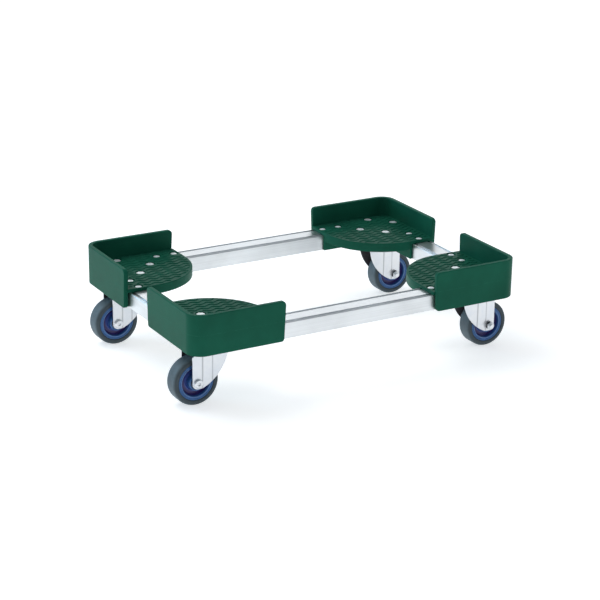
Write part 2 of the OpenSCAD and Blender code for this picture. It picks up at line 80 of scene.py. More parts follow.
JOINTS = {joint["name"]: Vector(joint["pos_m"]) for joint in frame["joints"]}
MOUNTS = {mount["name"]: Vector(mount["pos_m"]) for mount in frame["record"]["mounts"]}
CORNER_LOW, CORNER_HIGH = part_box("corner_front_left")
HALF_LENGTH = -CORNER_LOW.x
HALF_WIDTH = -CORNER_LOW.y
FOOT_Z = CORNER_LOW.z
WALL_TOP = CORNER_HIGH.z
DECK_REACH = CORNER_HIGH.x - CORNER_LOW.x
DECK_TOP = MOUNTS["crate_seat_front_left"].z
SWIVEL = JOINTS["castor_swivel_front_right"]
AXLE = JOINTS["wheel_spin_front_right"]
SWIVEL_IN = HALF_LENGTH - SWIVEL.x
SWIVEL_CENTRE = Matrix.Translation((SWIVEL_IN, SWIVEL_IN, 0))
TRAIL = AXLE.x - SWIVEL.x
AXLE_Z = AXLE.z
RAIL_LOW, RAIL_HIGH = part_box("rail_front")
RAIL_IN = RAIL_LOW.y + HALF_WIDTH
RAIL_WIDTH = RAIL_HIGH.y - RAIL_LOW.y
RAIL_START = HALF_LENGTH - RAIL_HIGH.x
RAIL_TOP = RAIL_HIGH.z
RAIL_MID = RAIL_IN + RAIL_WIDTH / 2
FORK_LOW, FORK_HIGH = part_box("fork_front_right")
CROWN_TOP = FORK_HIGH.z
FORK_LEG = 18 * MM
BEAD_MIDDLE = TRAIL - 16.5 * MM
BEAD_HALF = 10 * MM
BEAD_TOP = CROWN_TOP - 8 * MM
PLATE_LOW, PLATE_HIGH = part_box("castor_plate_front_right")
MOUNT_Z = PLATE_HIGH.z
TYRE_LOW, TYRE_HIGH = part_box("tyre_front_right")
TYRE_RADIUS = (TYRE_HIGH.z - TYRE_LOW.z) / 2
TYRE_WIDTH = TYRE_HIGH.y - TYRE_LOW.y
RIM_LOW, RIM_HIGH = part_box("rim_front_right")
RIM_RADIUS = (RIM_HIGH.z - RIM_LOW.z) / 2
HUB_LENGTH = RIM_HIGH.y - RIM_LOW.y


# ---- settings ----


def length(name, default, description):
    """A length setting, its default in millimetres."""
    return FloatProperty(name=name, description=description, default=default * MM, unit="LENGTH")


def angle(name, default, description):
    """An angle setting, its default in degrees."""
    return FloatProperty(name=name, description=description, default=math.radians(default), subtype="ANGLE")


def tint(name, default, description):
    """A colour setting."""
    return FloatVectorProperty(name=name, description=description, default=default, subtype="COLOR")


class DollyMouldingSettings(bpy.types.PropertyGroup):
    """Sizes and colour of the corner mouldings."""

    wall: length("Wall", 8, "Thickness of the side walls")
    wall_reach: length("Wall reach", 167, "Length of a side wall along its top")
    wall_lean: length("Wall lean", 3.3, "How far a wall's end leans in at its foot")
    corner_radius: length("Corner radius", 26, "Radius of the upright outer corner")
    end_top: length("End rounding, top", 7.5, "Radius of a wall's end at the top")
    end_foot: length("End rounding, foot", 5, "Radius of a wall's end at the foot")
    rim: length("Rim rounding", 1.6, "Radius along the walls' edges")
    deck: length("Deck", 5.7, "Thickness of the deck")
    skirt_depth: length("Skirt depth", 16, "Depth of the skirt under the curved edge")
    skirt: length("Skirt", 3.5, "Thickness of the skirt")
    socket: length("Socket wall", 4, "Thickness of the walls round a rail's end")
    tread_pitch: length("Tread pitch", 11, "Distance between the anti-slip ribs")
    tread_wave: length("Tread wave", 22, "Length of one wave of an anti-slip rib")
    tread_swing: length("Tread swing", 2.6, "How far an anti-slip rib swings to each side")
    tread_width: length("Tread width", 3.6, "Width of an anti-slip rib at its foot")
    tread_height: length("Tread height", 1.1, "Height of the anti-slip ribs")
    colour: tint("Colour", (0.0085, 0.102, 0.062), "Colour of the moulding")


class DollyMetalSettings(bpy.types.PropertyGroup):
    """Sizes and colours of the rails, fasteners and forks."""

    rivet_first: length("First rivet", 125, "Distance from the outer corner to the first rivet")
    rivet_pitch: length("Rivet pitch", 33, "Distance between a rail's two rivets")
    rivet_head: length("Rivet head", 5.5, "Radius of a rivet's head")
    dimple: length("Dimple", 7.75, "Radius of the dimple round a rivet")
    dimple_depth: length("Dimple depth", 2.2, "Depth of the dimple round a rivet")
    bolts_long: length("Bolts, long way", 61, "Distance between the castor bolts along the corner's diagonal")
    bolts_wide: length("Bolts, short way", 48, "Distance between the castor bolts across the corner's diagonal")
    seat: length("Bolt seat", 8.5, "Radius of a castor bolt's sunk seat")
    seat_depth: length("Seat depth", 6, "Depth of a castor bolt's sunk seat")
    groove: length("Groove", 6, "Width of a rail's two grooves")
    groove_depth: length("Groove depth", 2.5, "Depth of the grooves")
    lip: length("Lip", 2.2, "Width of the lip outside each groove")
    sheet: length("Sheet", 2.5, "Thickness of the fork's sheet")
    bend: length("Bend", 8.5, "Outer radius of the bend between leg and crown")
    crown: length("Crown", 26, "Radius of the fork's round crown")
    leg_end: length("Leg end", 10, "Radius of a leg's end round the axle")
    bolt_flats: length("Flats", 13, "Width across a nut's flats")
    aluminium: tint("Aluminium", (0.75, 0.775, 0.79), "Colour of the rails")
    zinc: tint("Zinc", (0.80, 0.81, 0.82), "Colour of the plated parts")
    bright: tint("Bright zinc", (0.90, 0.95, 0.94), "Colour of the rivet and bolt heads")


class DollyWheelSettings(bpy.types.PropertyGroup):
    """Sizes and colours of the wheels."""

    shoulder: length("Shoulder", 5, "Radius of the tyre's shoulders")
    ring: length("Ring", 6, "Width of the rim's outer ring")
    web: length("Web", 10, "Thickness of the rim's web")
    hub: length("Hub", 14, "Radius of the hub")
    bore: length("Bore", 10.55, "Radius of the hub's bearing seat")
    segments: IntProperty(name="Segments", description="Steps round a wheel", default=96)
    tyre: tint("Tyre", (0.052, 0.072, 0.084), "Colour of the tyres")
    rim: tint("Rim", (0.030, 0.125, 0.34), "Colour of the rims")


class DollyStageSettings(bpy.types.PropertyGroup):
    """Camera, floor and lights."""

    azimuth: angle("Azimuth", -30.045, "Camera's turn round the dolly")
    elevation: angle("Elevation", 20.055, "Camera's height angle")
    roll: angle("Roll", 0.828, "Camera's roll")
    distance: length("Distance", 3212.27, "From the camera to its aim")
    aim_height: length("Aim height", 90.0, "Height of the camera's aim")
    slide_right: length("Slide right", 1.969, "Camera's sideways slide")
    slide_up: length("Slide up", -11.113, "Camera's upward slide")
    lens: FloatProperty(name="Lens", description="Focal length in millimetres", default=111.47)
    glow: FloatProperty(name="Glow", description="Light that the floor gives off", default=0.62)
    floor: tint("Floor", (0.90, 0.90, 0.90), "Colour of the floor")


# ---- placing ----


def corner_place(side_x, side_y):
    """Matrix from a corner's own frame, with its outer corner at the origin, to the dolly."""
    corner = Matrix.Translation((side_x * HALF_LENGTH, side_y * HALF_WIDTH, 0))
    return corner @ Matrix.Diagonal((-side_x, -side_y, 1, 1))


def castor_place(side_x, side_y):
    """Matrix from a castor's own frame, with its swivel axis at the origin, to the dolly."""
    turn = Matrix.Rotation(0 if side_x > 0 else math.pi, 4, "Z")
    return Matrix.Translation((side_x * SWIVEL.x, -side_y * SWIVEL.y, 0)) @ turn


def axle_place(side_x, side_y):
    """Matrix from a wheel's own frame, with its axle along Z at the origin, to the dolly."""
    axle = Matrix.Translation((TRAIL, 0, AXLE_Z)) @ Matrix.Rotation(math.pi / 2, 4, "X")
    return castor_place(side_x, side_y) @ axle


SWAPPED_WAYS = Matrix(((0, 1, 0, 0), (1, 0, 0, 0), (0, 0, 1, 0), (0, 0, 0, 1)))


# ---- shapes ----


def added(elements, old):
    """The vertices or faces that were added since old was listed."""
    return [element for element in elements if element not in old]


def verts_in(geom):
    return [element for element in geom if isinstance(element, bmesh.types.BMVert)]


def edges_of(verts):
    return list({edge for vert in verts for edge in vert.link_edges})


def rounded(bm, geom, radius, steps, affect="EDGES"):
    """Rounds edges or corners by the radius."""
    bmesh.ops.bevel(
        bm, geom=geom, offset=radius, offset_type="OFFSET", segments=steps, profile=0.5,
        affect=affect, clamp_overlap=affect == "EDGES", material=-1,
    )


def pushed(bm, faces, rise):
    """Pushes a copy of the faces along rise, which closes them to a solid."""
    made = bmesh.ops.extrude_face_region(bm, geom=faces)["geom"]
    bmesh.ops.translate(bm, verts=verts_in(made), vec=rise)


def extruded(bm, ring, place):
    """The next ring of edges, its points put where place sends them."""
    made = bmesh.ops.extrude_edge_only(bm, edges=ring)["geom"]
    verts = verts_in(made)
    for vert in verts:
        vert.co = place(vert.co)
    return [g for g in made if isinstance(g, bmesh.types.BMEdge) and all(v in verts for v in g.verts)]


def moved(bm, old, matrix):
    """Moves what was added since old was listed."""
    bmesh.ops.transform(bm, matrix=matrix, verts=added(bm.verts, old))


def sliced(bm, old, place, normal):
    """Cuts what was added since old was listed along a plane, and keeps both sides."""
    verts = added(bm.verts, old)
    faces = list({face for vert in verts for face in vert.link_faces})
    bmesh.ops.bisect_plane(bm, geom=verts + edges_of(verts) + faces, plane_co=place, plane_no=normal, dist=WELD)


def outline(bm, points, rounding=None):
    """A flat face through the points, with the corners in rounding (number: radius) made round."""
    verts = [bm.verts.new(point) for point in points]
    bm.faces.new(verts)
    for radius in sorted(set((rounding or {}).values())):
        rounded(bm, [verts[i] for i, r in rounding.items() if r == radius], radius, 6, "VERTICES")


def prism(bm, points, rise, rounding=None, edge=0.0, steps=2):
    """A solid from an outline pushed along rise, with its two rims rounded by edge."""
    old = set(bm.faces)
    outline(bm, points, rounding)
    pushed(bm, added(bm.faces, old), rise)
    if edge:
        way = Vector(rise).normalized()
        caps = [f for f in added(bm.faces, old) if len(f.verts) > 4 or abs(f.normal.dot(way)) > 0.99]
        rounded(bm, list({e for f in caps for e in f.edges}), edge, steps)


def slab(bm, low, high, edge=0.4 * MM):
    """A box between two corners, with rounded edges."""
    low, high = Vector(low), Vector(high)
    place = Matrix.Translation((low + high) / 2) @ Matrix.Diagonal((*(high - low), 1))
    made = bmesh.ops.create_cube(bm, size=1, matrix=place)["verts"]
    rounded(bm, edges_of(made), edge, 1)


def lathe(bm, points, rounding=None, steps=48, place=None, sweep=FULL_TURN):
    """A turned solid: the outline of (radius, height) points spun about Z."""
    old, old_faces = set(bm.verts), set(bm.faces)
    outline(bm, [(r, 0, z) for r, z in points], rounding)
    face = added(bm.faces, old_faces)
    whole = sweep == FULL_TURN
    if whole:
        bmesh.ops.delete(bm, geom=face, context="FACES_ONLY")
    verts = added(bm.verts, old)
    bmesh.ops.spin(
        bm, geom=verts + edges_of(verts) + ([] if whole else face), cent=(0, 0, 0), axis=(0, 0, 1),
        angle=sweep, steps=steps, use_merge=whole, use_duplicate=False,
    )
    bmesh.ops.remove_doubles(bm, verts=added(bm.verts, old), dist=WELD)
    if place:
        moved(bm, old, place)


def hexagon(bm, flats, low, high, place=None, edge=0.5 * MM):
    """A hexagonal head or nut along Z, with its corners turned down."""
    old, old_faces = set(bm.verts), set(bm.faces)
    radius = flats / 2 / math.cos(math.pi / 6)
    bmesh.ops.create_circle(bm, cap_ends=True, segments=6, radius=radius, matrix=Matrix.Translation((0, 0, low)))
    pushed(bm, added(bm.faces, old_faces), (0, 0, high - low))
    rounded(bm, edges_of(added(bm.verts, old)), edge, 2)
    if place:
        moved(bm, old, place)


def piece(bm, name, place, finish, body, stands_for, soft=35.0):
    """Turns the built mesh into a finished piece that rides on a body in place of CAD nodes."""
    bmesh.ops.transform(bm, matrix=place, verts=bm.verts)
    bmesh.ops.remove_doubles(bm, verts=bm.verts, dist=WELD)
    bmesh.ops.recalc_face_normals(bm, faces=bm.faces)
    mesh = bpy.data.meshes.new(name)
    bm.to_mesh(mesh)
    bm.free()
    mesh.polygons.foreach_set("use_smooth", [True] * len(mesh.polygons))
    mesh.set_sharp_from_angle(angle=math.radians(soft))
    mesh.materials.append(finish)
    made = bpy.data.objects.new(name, mesh)
    bpy.context.scene.collection.objects.link(made)
    weigh = made.modifiers.new("Even shading", "WEIGHTED_NORMAL")
    weigh.keep_sharp = True
    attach(made, body)
    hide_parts(*stands_for)
    return made


# ---- materials ----


class Value:
    """A shader socket that can be used in arithmetic."""

    def __init__(self, paint, socket):
        self.paint = paint
        self.socket = socket

    def sum(self, operation, *terms):
        made = self.paint.node("ShaderNodeMath", {"operation": operation}, dict(enumerate(terms)))
        return self.paint.value(made.outputs[0])

    def __add__(self, other):
        return self.sum("ADD", self, other)

    __radd__ = __add__

    def __sub__(self, other):
        return self.sum("SUBTRACT", self, other)

    def __rsub__(self, other):
        return self.sum("SUBTRACT", other, self)

    def __mul__(self, other):
        return self.sum("MULTIPLY", self, other)

    __rmul__ = __mul__

    def __abs__(self):
        return self.sum("ABSOLUTE", self)

    def root(self):
        return self.sum("SQRT", self)

    def clipped(self, low, high):
        """This value from low to high, spread over 0 to 1."""
        sockets = {"Value": self, "From Min": low, "From Max": high}
        made = self.paint.node("ShaderNodeMapRange", {"clamp": True}, sockets)
        return self.paint.value(made.outputs[0])


class Paint:
    """A material that is built round one Principled shader."""

    def __init__(self, name):
        self.material = bpy.data.materials.new(name)
        self.material.use_nodes = True
        self.tree = self.material.node_tree
        self.tree.nodes.clear()
        self.shader = self.tree.nodes.new("ShaderNodeBsdfPrincipled")
        output = self.tree.nodes.new("ShaderNodeOutputMaterial")
        self.tree.links.new(self.shader.outputs[0], output.inputs["Surface"])
        self.place = self.node("ShaderNodeTexCoord").outputs["Object"]

    def value(self, socket):
        return Value(self, socket)

    def node(self, kind, settings=None, sockets=None):
        """A node of that type, with its settings made first and then its sockets set or linked."""
        made = self.tree.nodes.new(kind)
        for name, setting in (settings or {}).items():
            setattr(made, name, setting)
        self.feed(made, sockets or {})
        return made

    def feed(self, node, sockets):
        """Sets or links the sockets of a node."""
        for name, given in sockets.items():
            target = node.inputs[name]
            if isinstance(given, Value):
                given = given.socket
            if isinstance(given, bpy.types.NodeSocket):
                self.tree.links.new(given, target)
            else:
                target.default_value = given

    def stretched(self, x, y, z):
        """Object coordinates, stretched along the axes."""
        made = self.node("ShaderNodeVectorMath", {"operation": "MULTIPLY"}, {0: self.place, 1: (x, y, z)})
        return made.outputs[0]

    def noise(self, scale, detail=2.0, rough=0.5, where=None):
        sockets = {"Vector": where or self.place, "Scale": scale, "Detail": detail, "Roughness": rough}
        return self.value(self.node("ShaderNodeTexNoise", {}, sockets).outputs[0])

    def mix(self, factor, first, second):
        """A colour between two colours."""
        made = self.node(
            "ShaderNodeMix", {"data_type": "RGBA", "clamp_factor": True}, {0: factor, 6: first, 7: second}
        )
        return made.outputs[2]

    def split(self):
        made = self.node("ShaderNodeSeparateXYZ", {}, {0: self.place})
        return [self.value(made.outputs[i]) for i in range(3)]

    def from_axle(self):
        """Distance from the wheel's axle, round which the piece is turned."""
        x, _, z = self.split()
        across, rise = abs(x) - AXLE.x, z - AXLE_Z
        return (across * across + rise * rise).root()

    def relief(self, height, distance):
        """A bump whose height is in shares of distance."""
        made = self.node("ShaderNodeBump", {}, {"Strength": 1.0, "Distance": distance, "Height": height})
        return made.outputs[0]

    def finished(self, sockets):
        """The material, with its shader's sockets set or linked."""
        self.feed(self.shader, sockets)
        return self.material


def rgba(colour, share=1.0):
    return (*[min(1.0, c * share) for c in colour], 1.0)


def moulded_paint(colour):
    """Satin green moulding: fine grain, slow clouding, and rib tops and wall rims painted paler, partly as wear and
    partly as a painted highlight.
    """
    paint = Paint("moulded_green")
    grain = paint.noise(1400, 3.0, 0.6)
    cloud = paint.noise(14, 3.0, 0.55)
    scuff = paint.noise(160, 4.0, 0.65, paint.stretched(1.0, 0.35, 1.0))
    height = paint.split()[2]
    crests = height.clipped(DECK_TOP + 0.6 * MM, DECK_TOP + 1.0 * MM)
    below_walls = 1 - height.clipped(DECK_TOP + 1.3 * MM, DECK_TOP + 1.7 * MM)
    rims = height.clipped(WALL_TOP - 1.2 * MM, WALL_TOP - 0.1 * MM)
    # Rib tops and wall rims painted paler: partly wear, partly a painted highlight where light catches them.
    wear_and_highlight = (crests * below_walls + rims) * scuff.clipped(0.42, 0.62)
    body = paint.mix(cloud.clipped(0.3, 0.7), rgba(colour, 0.86), rgba(colour, 1.14))
    pale = rgba([c * 1.5 + 0.012 for c in colour])
    return paint.finished({
        "Base Color": paint.mix(wear_and_highlight * 0.55, body, pale),
        "Roughness": 0.34 + cloud * 0.08 + grain * 0.08 + wear_and_highlight * 0.12,
        "Normal": paint.relief(grain, 0.06 * MM),
        "Specular IOR Level": 0.06,
    })


def aluminium_paint(name, colour, along):
    """Drawn aluminium: streaks along the rail, with duller patches from handling."""
    paint = Paint(name)
    stretch = {"X": (1.2, 420.0, 420.0), "Y": (420.0, 1.2, 420.0)}[along]
    streak = paint.noise(2.4, 4.0, 0.6, paint.stretched(*stretch))
    fine = paint.noise(9.0, 3.0, 0.6, paint.stretched(*stretch))
    patch = paint.noise(11, 3.0, 0.55)
    tone = streak * 0.4 + patch * 0.6
    return paint.finished({
        "Base Color": paint.mix(tone.clipped(0.36, 0.64), rgba(colour, 0.86), rgba(colour, 1.10)),
        "Metallic": 1.0,
        "Roughness": 0.24 + patch * 0.16 + fine * 0.10,
        "Normal": paint.relief(streak * 0.6 + fine * 0.4, 0.05 * MM),
    })


def zinc_paint(name, colour, rough=0.30, metal=1.0, painted_shade=None):
    """Bright zinc plate on pressed steel, faintly clouded, with a fine orange-peel surface and painted shade where
    given.
    """
    paint = Paint(name)
    cloud = paint.noise(55, 3.0, 0.6)
    fine = paint.noise(620, 2.0, 0.5)
    wipe = paint.noise(30, 3.0, 0.6, paint.stretched(1.0, 1.0, 0.18))
    cool = [colour[0] * 0.90, colour[1] * 0.93, colour[2] * 0.98]
    plate = paint.mix((cloud * 0.5 + wipe * 0.5).clipped(0.36, 0.64), rgba(cool), rgba(colour, 1.05))
    dull = rough + cloud * 0.14 + wipe * 0.06
    # Where a shade mask is given, it paints shade: the plate goes nearly black there, less metallic and rougher.
    if painted_shade:
        shade_mask = painted_shade(paint)
        plate = paint.mix(shade_mask, plate, (0.022, 0.020, 0.024, 1.0))
        metal = metal - shade_mask * 0.7
        dull = dull + shade_mask * 0.25
    return paint.finished({
        "Base Color": plate,
        "Metallic": metal,
        "Roughness": dull,
        "Normal": paint.relief(fine, 0.03 * MM),
    })


def fork_painted_shade(paint):
    """Painted shade along the borders of a fork's beads, and painted shadow all over the inside of its legs below
    the crown.
    """
    x, y, z = paint.split()
    border = abs(abs(abs(x) - SWIVEL.x - BEAD_MIDDLE) - BEAD_HALF + 1.1 * MM)
    crease = (1 - border.clipped(0.5 * MM, 1.5 * MM)) * (1 - z.clipped(BEAD_TOP - 1 * MM, BEAD_TOP + 3 * MM))
    inside = 1 - abs(abs(y) - abs(SWIVEL.y)).clipped(FORK_LEG + 0.2 * MM, FORK_LEG + 1.2 * MM)
    under = 1 - z.clipped(CROWN_TOP - 4 * MM, CROWN_TOP - 2.5 * MM)
    return (crease * 0.32 + inside * under * 0.95).clipped(0.0, 1.0)


def tyre_paint(colour):
    """Grey elastic rubber: matt, with fine moulding grain and a tread painted paler, partly as dust and partly as
    painted light.
    """
    paint = Paint("tyre_grey")
    cloud = paint.noise(40, 4.0, 0.6)
    grain = paint.noise(900, 3.0, 0.6)
    tread = paint.from_axle().clipped(TYRE_RADIUS - 2.5 * MM, TYRE_RADIUS - 0.4 * MM)
    body = paint.mix(cloud.clipped(0.35, 0.75), rgba(colour, 0.88), rgba(colour, 1.22))
    # The tread is painted paler: partly dust, partly painted light where the lamps fall on it.
    dust_and_light = paint.mix(cloud.clipped(0.3, 0.7), rgba(colour, 1.5), rgba(colour, 2.4))
    return paint.finished({
        "Base Color": paint.mix(tread, body, dust_and_light),
        "Roughness": 0.50 + cloud * 0.18 + grain * 0.08,
        "Normal": paint.relief(grain, 0.05 * MM),
        "Specular IOR Level": 0.35,
    })


def rim_paint(colour):
    """Blue moulded rim: satin and bright at its ring, with a painted highlight line near the ring's inner edge, and
    deep violet blue in its recess, partly the rim's own tone and partly painted shade; faint flow marks.
    """
    paint = Paint("rim_blue")
    flow = paint.noise(75, 3.0, 0.6)
    grain = paint.noise(1100, 2.0, 0.5)
    reach = paint.from_axle()
    ring = abs(abs(paint.split()[1]) - abs(AXLE.y)).clipped(6.5 * MM, 11.5 * MM)
    middle = 1 - reach.clipped(16.5 * MM, 19.5 * MM)
    # A thin painted highlight line in light blue near the ring's inner edge.
    line = 1 - abs(reach - (RIM_RADIUS - 5.2 * MM)).clipped(0.3 * MM, 1.1 * MM)
    # The recess is painted dark violet: partly the rim's own tone, partly painted shade beside the ring; near the
    # axle it turns blue.
    violet_and_shade = paint.mix(flow, (0.024, 0.009, 0.095, 1.0), (0.040, 0.020, 0.17, 1.0))
    inner = paint.mix(middle, violet_and_shade, rgba((0.032, 0.075, 0.32)))
    bright = paint.mix(flow.clipped(0.35, 0.7), rgba(colour, 0.78), rgba(colour, 1.08))
    ring_and_highlight = paint.mix(line * 0.7, bright, (0.14, 0.26, 0.52, 1.0))
    return paint.finished({
        "Base Color": paint.mix(ring, inner, ring_and_highlight),
        "Roughness": 0.24 + flow * 0.12,
        "Normal": paint.relief(grain, 0.03 * MM),
    })


def plain_paint(name, colour, rough, metal=0.0):
    """A small inner part: one colour with a fine variation."""
    paint = Paint(name)
    cloud = paint.noise(120, 3.0, 0.6)
    return paint.finished({
        "Base Color": paint.mix(cloud, rgba(colour, 0.85), rgba(colour, 1.15)),
        "Metallic": metal,
        "Roughness": rough + cloud * 0.12,
    })


def floor_paint(colour, glow):
    """Pale matt floor that glows a little, as a light table does."""
    paint = Paint("floor")
    cloud = paint.noise(3.0, 3.0, 0.5)
    return paint.finished({
        "Base Color": paint.mix(cloud, rgba(colour, 0.99), rgba(colour, 1.01)),
        "Roughness": 0.9,
        "Specular IOR Level": 0.0,
        "Emission Color": rgba(colour),
        "Emission Strength": glow,
    })


def cad_finish(kinds, material, places=PLACES):
    """Gives CAD nodes that stay in view their material, one of each kind at each place."""
    for name in [f"{kind}_{place}" if place else kind for kind in kinds for place in places]:
        mesh = frame["nodes"][name].data
        mesh.materials.clear()
        mesh.materials.append(material)


# ---- corner mouldings ----


def moulding_walls(bm, s):
    """The two side walls: a flat strip with rounded ends and rims, bent round the upright corner."""
    bend = s.corner_radius * math.pi / 4
    reach = bend + s.wall_reach - s.corner_radius
    foot_reach = reach - s.wall_lean
    old = set(bm.verts)
    points = [(-foot_reach, 0, FOOT_Z), (foot_reach, 0, FOOT_Z), (reach, 0, WALL_TOP), (-reach, 0, WALL_TOP)]
    prism(bm, points, (0, s.wall, 0), {0: s.end_foot, 1: s.end_foot, 2: s.end_top, 3: s.end_top}, s.rim, 3)
    stations = [bend * (2 * i / 16 - 1) for i in range(17)]
    stations += [side * (bend + (reach - bend) * share) for side in (-1, 1) for share in (0.25, 0.5, 0.75)]
    for station in stations:
        sliced(bm, old, (station, 0, 0), (1, 0, 0))
    for vert in added(bm.verts, old):
        along, depth = vert.co.x, vert.co.y
        angle = math.radians(225) + max(-bend, min(bend, along)) / s.corner_radius
        outward = Vector((math.cos(angle), math.sin(angle), 0))
        straight = Vector((max(0.0, along - bend), max(0.0, -along - bend), 0))
        centre = Vector((s.corner_radius, s.corner_radius, vert.co.z))
        vert.co = centre + outward * (s.corner_radius - depth) + straight


def deck_point(co, inset, height):
    """A point of the deck's outline, moved in from the edge by inset and put at that height."""
    du, dv = co.x - SWIVEL_IN, co.y - SWIVEL_IN
    x, y = co.x, co.y
    if du > 1e-6 and dv > 1e-6:
        scale = (DECK_REACH - SWIVEL_IN - inset) / math.hypot(du, dv)
        x, y = SWIVEL_IN + du * scale, SWIVEL_IN + dv * scale
    elif du > 1e-6:
        x = DECK_REACH - inset
    elif dv > 1e-6:
        y = DECK_REACH - inset
    return Vector((x, y, height))


def deck_holes(metal):
    """Centre, radius and depth of every sunk seat in a deck."""
    holes = []
    for place in (metal.rivet_first, metal.rivet_first + metal.rivet_pitch):
        holes.append((place, RAIL_MID, metal.dimple, metal.dimple_depth))
        holes.append((RAIL_MID, place, metal.dimple, metal.dimple_depth))
    return holes + [(x, y, metal.seat, metal.seat_depth) for x, y in bolt_places(metal)]


def bolt_places(metal):
    """The four castor bolts of a corner, on a rectangle that lies along the corner's diagonal."""
    places = []
    for along in (-metal.bolts_long / 2, metal.bolts_long / 2):
        for across in (-metal.bolts_wide / 2, metal.bolts_wide / 2):
            x, y = (along - across) * math.sqrt(0.5), (along + across) * math.sqrt(0.5)
            places.append((SWIVEL_IN + x, SWIVEL_IN + y))
    return places


def moulding_deck(bm, s, metal):
    """The deck: a plate with a rounded edge, and a sunk seat round each rivet and bolt."""
    edge = 1.2 * MM
    lip = 0.7 * MM
    side, turn = s.wall - 1.6 * MM, s.corner_radius * 0.4
    start = bm.verts.new(deck_point(Vector((DECK_REACH, SWIVEL_IN, 0)), edge, DECK_TOP))
    arc = bmesh.ops.spin(
        bm, geom=[start], cent=(SWIVEL_IN, SWIVEL_IN, 0), axis=(0, 0, 1), angle=math.pi / 2, steps=48,
        use_duplicate=False,
    )
    last = next(g for g in arc["geom_last"] if isinstance(g, bmesh.types.BMVert))
    end, corner = DECK_REACH - edge, s.corner_radius
    under_walls = ((side, end), (side, corner), (turn, turn), (corner, side), (end, side))
    hidden = [bm.verts.new((x, y, DECK_TOP)) for x, y in under_walls]
    for first, second in zip([last, *hidden], [*hidden, start]):
        bm.edges.new((first, second))
    rim = list({e for v in bm.verts for e in v.link_edges if e.is_wire})
    loops = []
    for x, y, radius, depth in deck_holes(metal):
        made = bmesh.ops.create_circle(
            bm, cap_ends=False, segments=40, radius=radius + lip, matrix=Matrix.Translation((x, y, DECK_TOP))
        )
        loops.append((Vector((x, y, 0)), radius, depth, edges_of(made["verts"])))
    edges = rim + [e for loop in loops for e in loop[3]]
    bmesh.ops.triangle_fill(bm, use_beauty=True, use_dissolve=False, edges=edges, normal=(0, 0, 1))

    def curl(radius):
        """Reach and height of a quarter round's three steps, from its upper end."""
        quarter = [math.radians(turn) for turn in (30, 60, 90)]
        return [(radius * (1 - math.sin(a)), DECK_TOP - radius * (1 - math.cos(a))) for a in quarter]

    for centre, radius, depth, ring in loops:
        steps = [(radius + reach, height) for reach, height in curl(lip)]
        steps += [(radius - 0.1 * MM, DECK_TOP - depth + 0.5 * MM), (radius - 0.6 * MM, DECK_TOP - depth)]
        for reach, height in steps:

            def nearer(co, reach=reach, height=height, centre=centre):
                away = Vector((co.x - centre.x, co.y - centre.y, 0)).normalized()
                return Vector((centre.x, centre.y, height)) + away * reach

            ring = extruded(bm, ring, nearer)
        bmesh.ops.edgeloop_fill(bm, edges=ring)
    ring = rim
    for inset, height in [*curl(edge), (0.0, DECK_TOP - s.deck)]:
        ring = extruded(bm, ring, lambda co, inset=inset, height=height: deck_point(co, inset, height))
    bmesh.ops.edgeloop_fill(bm, edges=ring)


def spoke(bm, start, end, low, high, turn):
    """An upright rib that runs out from the swivel axis, turned by an angle."""
    old = set(bm.verts)
    half = 1.5 * MM
    slab(bm, (start, -half, low), (end, half, high))
    moved(bm, old, SWIVEL_CENTRE @ Matrix.Rotation(turn, 4, "Z"))


def moulding_skirt(bm, s):
    """The skirt under the curved edge, with ribs that run from it to the castor's boss."""
    radius = DECK_REACH - SWIVEL_IN
    foot = DECK_TOP - s.skirt_depth
    underside = DECK_TOP - s.deck
    tuck = 0.2 * MM
    start = -math.asin(3.7 * MM / radius)
    points = [
        (radius - s.skirt, foot), (radius, foot), (radius, underside), (radius - tuck, underside),
        (radius - tuck, underside + 2 * MM), (radius - s.skirt, underside + 2 * MM),
    ]
    place = SWIVEL_CENTRE @ Matrix.Rotation(start, 4, "Z")
    lathe(bm, points, {0: 0.6 * MM, 1: 0.6 * MM}, 48, place, math.pi / 2 - 2 * start)
    for share in (0.25, 0.5, 0.75):
        spoke(bm, 44 * MM, radius - s.skirt / 2, foot + 1 * MM, underside + 1 * MM, share * math.pi / 2)


def moulding_boss(bm, metal):
    """The ring, ribs and pillars under the deck that the castor's plate bears against."""
    top = DECK_TOP - 4 * MM
    ring = 46.5 * MM
    for outer, steps in ((ring, 64), (15 * MM, 40)):
        inner = outer - 4 * MM
        tube = [(inner, MOUNT_Z), (outer, MOUNT_Z), (outer, top), (inner, top)]
        lathe(bm, tube, None, steps, SWIVEL_CENTRE)
    for eighth in range(8):
        spoke(bm, 14 * MM, ring - 2 * MM, MOUNT_Z, top, eighth * math.pi / 4)
    hole, outer = 4.3 * MM, 10.5 * MM
    pillar = [(hole, MOUNT_Z), (outer, MOUNT_Z), (outer, DECK_TOP - 5 * MM), (hole, DECK_TOP - 5.6 * MM)]
    for x, y in bolt_places(metal):
        lathe(bm, pillar, None, 32, Matrix.Translation((x, y, 0)))


def moulding_socket(bm, s, metal):
    """Walls round the end of one rail, and the two keys in its grooves."""
    side = RAIL_IN + RAIL_WIDTH + 0.3 * MM
    back = RAIL_START - 0.3 * MM
    top = DECK_TOP - s.deck + 1 * MM
    slab(bm, (back - s.socket / 2, side, FOOT_Z), (DECK_REACH - 0.2 * MM, side + s.socket, top), 0.6 * MM)
    slab(bm, (back - s.socket + 0.6 * MM, s.wall / 2, FOOT_Z), (back, side + s.socket / 2, top), 0.5 * MM)
    slab(bm, (back - s.socket / 2, s.wall / 2, FOOT_Z), (s.wall_reach - 9 * MM, RAIL_IN - 0.3 * MM, top), 0.5 * MM)
    middle = RAIL_WIDTH / 2 - metal.lip - metal.groove / 2
    half, foot = metal.groove / 2 - 0.3 * MM, RAIL_TOP - metal.groove_depth + 0.3 * MM
    for y in (RAIL_MID - middle, RAIL_MID + middle):
        slab(bm, (back - s.socket / 2, y - half, foot), (DECK_REACH - 1 * MM, y + half, top))


